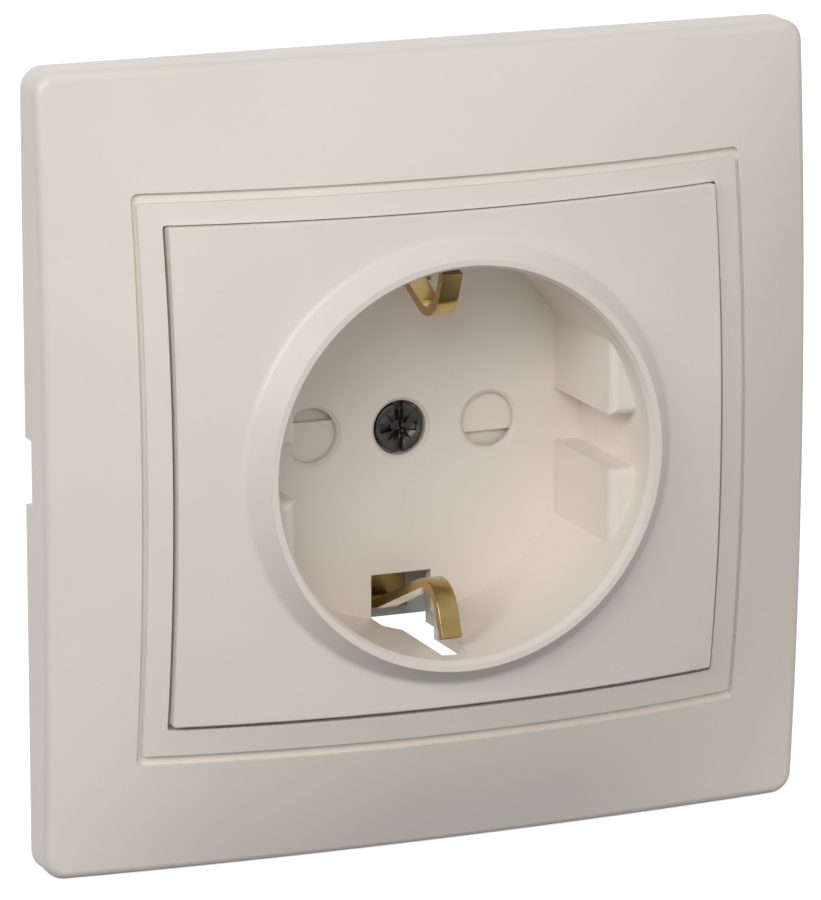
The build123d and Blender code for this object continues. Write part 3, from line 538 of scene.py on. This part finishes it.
class SOCKET_OT_rear_relief(bpy.types.Operator):
    """Mould wire funnels, a stripping gauge, an earth mark and date clocks on the rear cover"""
    bl_idname = "socket.rear_relief"
    bl_label = "Rear cover relief"

    def execute(self, context):
        lift = context.scene.socket_fittings.relief
        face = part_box("rear_cover")[1].y
        base = face - 0.05 * MM
        b = bmesh.new()
        add_wire_funnels(b, face, lift)
        add_stripping_gauge(b, base, lift)
        add_earth_mark(b, base, lift)
        add_date_clocks(b, base, lift)
        half_x, line, line_lift = 17.5 * MM, 0.6 * MM, 0.6 * lift
        for z in (-3.0 * MM, 8.5 * MM):
            add_bar(b, (-half_x, z), (half_x, z), line, base, line_lift)
        made("rear_cover_relief", b, "rear_cover", body_of("rear_cover"), 30)
        return {"FINISHED"}


class SOCKET_OT_frame_ribs(bpy.types.Operator):
    """Stiffen the hollow of the frame with thin ribs between its wall and its collar"""
    bl_idname = "socket.frame_ribs"
    bl_label = "Frame ribs"

    def execute(self, context):
        s = context.scene.socket_fittings
        shell = frame["nodes"]["outer_frame"]
        frame_box, plate_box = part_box("outer_frame"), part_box("support_plate")
        back = plate_box[0].y - 0.6 * MM
        wall_inset, plate_inset = 2.3 * MM, 4.2 * MM
        into_shell = Vector((0, -0.3 * MM, 0))
        b = bmesh.new()
        for axis, other in ((0, 2), (2, 0)):
            for side, sign in enumerate((-1, 1)):
                wall = frame_box[side][axis] - sign * wall_inset
                inner = plate_box[side][axis] - sign * plate_inset
                for share in (-0.78, -0.36, 0.36, 0.78):
                    at = share * frame_box[1][other]
                    tops, ends = [], []
                    for reach in (wall, (wall + inner) / 2, inner):
                        start = Vector((0, back, 0))
                        start[axis], start[other] = reach, at
                        hit, where, _, _ = shell.ray_cast(start, Vector((0, -1, 0)))
                        if not hit:
                            raise RuntimeError("a rib found no shell over it")
                        tops.append(where + into_shell)
                        ends.insert(0, start)
                    thick = Vector((0, 0, 0))
                    thick[other] = 1
                    add_block(b, [p - thick * s.rib / 2 for p in tops + ends], s.rib, thick)
        made("frame_ribs", b, "outer_frame", body_of("outer_frame"), 30)
        return {"FINISHED"}


class SOCKET_OT_stage(bpy.types.Operator):
    """Set up the floor, the white tent, the softboxes and the camera"""
    bl_idname = "socket.stage"
    bl_label = "Studio"

    def execute(self, context):
        s = context.scene.socket_stage
        scene = context.scene
        low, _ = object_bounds()
        floor_mesh = bpy.data.meshes.new("studio_floor")
        b = bmesh.new()
        bmesh.ops.create_circle(b, cap_ends=True, radius=s.floor_radius, segments=96)
        b.to_mesh(floor_mesh)
        b.free()
        floor = bpy.data.objects.new("studio_floor", floor_mesh)
        floor.location.z = low[2] - 0.02 * MM
        scene.collection.objects.link(floor)
        paper = Finish("white paper")
        white = paper.mix(paper.noise(3, 2), (0.90, 0.90, 0.90, 1), (0.93, 0.93, 0.93, 1))
        paper.set(Base_Color=white, Roughness=0.9)
        flat = paper.add("ShaderNodeNewGeometry").outputs["Normal"]
        paper.set(Normal=paper.bump(paper.noise(800, 2), 0.00002, flat))
        paper.set(Emission_Color=(1, 1, 1, 1), Emission_Strength=s.paper_glow)
        floor_mesh.materials.append(paper.material)
        floor.visible_diffuse = floor.visible_glossy = floor.visible_shadow = False
        floor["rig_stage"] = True

        scene.world = white_tent(TENT_GLOW)
        for name, azimuth, elevation, watts in SOFTBOXES:
            area_light(name, away_from(math.radians(azimuth), math.radians(elevation))
                       * s.light_distance, s.softbox, watts)

        aim = Vector((0, 0, s.aim))
        away = away_from(s.azimuth, s.elevation)
        camera = bpy.data.objects.new("camera", bpy.data.cameras.new("camera"))
        camera.data.lens = s.lens
        camera.data.sensor_width = SENSOR_WIDTH
        camera.location = aim + away * s.distance
        camera.rotation_euler = (-away).to_track_quat("-Z", "Y").to_euler()
        scene.collection.objects.link(camera)
        scene.camera = camera
        scene.view_settings.view_transform = "Standard"
        return {"FINISHED"}


SENSOR_WIDTH = 36        # millimetres

# Direction that each part of the tent lies in, and its strength
TENT_GLOW = (((0, -1, 0), 0.54), ((1, 0, 0), 0.19), ((0.7, 0, 0.7), 0.55), ((0, 1, 0), 1.22))

# Name, degrees to the left of the front, degrees above level, watts
SOFTBOXES = (("high left softbox", 30, 30, 2.30), ("far left softbox", 60, 25, 2.40))


def away_from(azimuth, elevation):
    """Unit vector from the socket to a place left of the front and above level."""
    return Vector((-math.sin(azimuth) * math.cos(elevation),
                   -math.cos(azimuth) * math.cos(elevation), math.sin(elevation)))


def white_tent(glows):
    """World that glows round each direction given, and is white where it is looked at."""
    world = bpy.data.worlds.new("white tent")
    world.use_nodes = True
    tree = world.node_tree
    background = tree.nodes["Background"]
    background.inputs["Color"].default_value = (1, 1, 1, 1)
    looking = tree.nodes.new("ShaderNodeTexCoord").outputs["Generated"]
    total = tree.nodes.new("ShaderNodeLightPath").outputs["Is Camera Ray"]
    for direction, strength in glows:
        towards = tree.nodes.new("ShaderNodeVectorMath")
        towards.operation = "DOT_PRODUCT"
        towards.inputs[1].default_value = direction
        tree.links.new(looking, towards.inputs[0])
        ahead = tree.nodes.new("ShaderNodeMath")
        ahead.operation, ahead.inputs[1].default_value = "MAXIMUM", 0
        tree.links.new(towards.outputs["Value"], ahead.inputs[0])
        squared = tree.nodes.new("ShaderNodeMath")
        squared.operation = "MULTIPLY"
        tree.links.new(ahead.outputs[0], squared.inputs[0])
        tree.links.new(ahead.outputs[0], squared.inputs[1])
        added = tree.nodes.new("ShaderNodeMath")
        added.operation, added.inputs[1].default_value = "MULTIPLY_ADD", strength
        tree.links.new(squared.outputs[0], added.inputs[0])
        tree.links.new(total, added.inputs[2])
        total = added.outputs[0]
    tree.links.new(total, background.inputs["Strength"])
    return world


def area_light(name, place, size, watts):
    lamp = bpy.data.objects.new(name, bpy.data.lights.new(name, "AREA"))
    lamp.data.shape = "DISK"
    lamp.data.size = size
    lamp.data.energy = watts
    lamp.location = place
    lamp.rotation_euler = (-place).to_track_quat("-Z", "Y").to_euler()
    bpy.context.scene.collection.objects.link(lamp)


STEPS = (SOCKET_OT_plastics, SOCKET_OT_metals, SOCKET_OT_screws, SOCKET_OT_clips,
         SOCKET_OT_rear_relief, SOCKET_OT_frame_ribs, SOCKET_OT_stage)


class SOCKET_PT_panel(bpy.types.Panel):
    """Everything that makes the socket's looks"""
    bl_idname = "SOCKET_PT_panel"
    bl_label = "Flush wall socket"
    bl_space_type = "VIEW_3D"
    bl_region_type = "UI"
    bl_category = "Socket"

    def draw(self, context):
        for step in STEPS:
            self.layout.operator(step.bl_idname)


SETTINGS = {"socket_plastics": SocketPlastics, "socket_metals": SocketMetals,
            "socket_fittings": SocketFittings, "socket_stage": SocketStage}
CLASSES = (*SETTINGS.values(), *STEPS, SOCKET_PT_panel)


def register():
    for cls in CLASSES:
        bpy.utils.register_class(cls)
    for name, group in SETTINGS.items():
        setattr(bpy.types.Scene, name, PointerProperty(type=group))


def unregister():
    for name in SETTINGS:
        delattr(bpy.types.Scene, name)
    for cls in reversed(CLASSES):
        bpy.utils.unregister_class(cls)


def main():
    register()
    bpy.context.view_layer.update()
    for step in STEPS:
        group, name = step.bl_idname.split(".")
        getattr(getattr(bpy.ops, group), name)()


if __name__ == "__main__":
    main()
